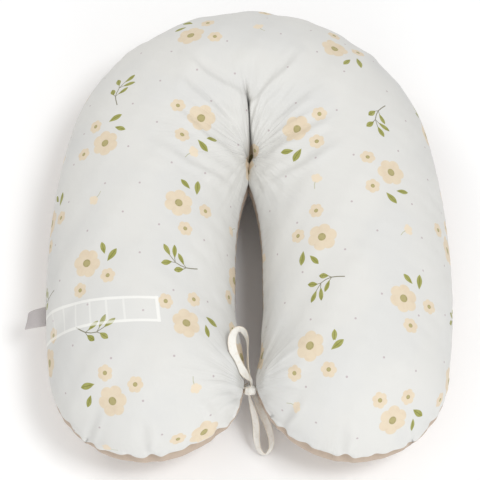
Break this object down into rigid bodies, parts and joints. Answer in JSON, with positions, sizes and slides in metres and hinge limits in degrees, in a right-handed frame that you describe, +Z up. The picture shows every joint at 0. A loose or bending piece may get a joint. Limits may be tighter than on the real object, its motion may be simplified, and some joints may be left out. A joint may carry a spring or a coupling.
{
  "type": "nursing pillow",
  "caption": "Stuffed horseshoe nursing pillow in a zipped cotton cover, printed above and plain below, its two legs tied together by a ribbon bow.",
  "frame": {"origin": "on the floor, under the middle of the whole pillow's outline, its side label included", "axes": "+Z up from the floor, +Y from the tied open end towards the closed arch, +X towards the leg without the label"},
  "size_m": [0.5899, 0.6926, 0.197],
  "materials": {
    "printed_cotton": "matte",
    "plain_cotton": "matte",
    "woven_label": "satin",
    "satin_label": "satin",
    "zip_tape": "matte",
    "zip_coil": "satin",
    "zip_metal": "gloss",
    "casing_cloth": "matte",
    "fibre_fill": "matte",
    "printed_ribbon": "matte"
  },
  "bodies": {
    "root": {"cover_upper_panel": "printed_cotton", "cover_lower_panel": "plain_cotton", "care_label": "satin_label", "zip_tape_upper": "zip_tape", "zip_tape_lower": "zip_tape", "zip_teeth_upper": "zip_coil", "zip_teeth_lower": "zip_coil", "zip_bottom_stop": "zip_metal", "zip_top_stops": "zip_metal", "insert_upper_panel": "casing_cloth", "insert_lower_panel": "casing_cloth", "filling": "fibre_fill", "tie_left": "printed_ribbon", "tie_right": "printed_ribbon", "bow_knot": "printed_ribbon"},
    "zip_slider": {"zip_slider": "zip_metal"},
    "zip_pull": {"zip_pull": "zip_metal"},
    "side_label": {"side_label": "woven_label"}
  },
  "joints": [
    {"name": "zip_travel", "type": "hinge", "parent": "root", "child": "zip_slider", "pos_m": [0.01567, 0.0814, 0.092], "axis": [0, 0, 1], "range_deg": [0, 90.4]},
    {"name": "pull_swing", "type": "hinge", "parent": "zip_slider", "child": "zip_pull", "pos_m": [0.20544, 0.26965, 0.092], "axis": [0, 0, -1], "range_deg": [0, 170]},
    {"name": "label_flap", "type": "hinge", "parent": "root", "child": "side_label", "pos_m": [-0.26233, -0.14284, 0.092], "axis": [0.0814, -0.9967, 0], "range_deg": [-85, 50], "stiffness_Nm_per_rad": 0.002}
  ]
}
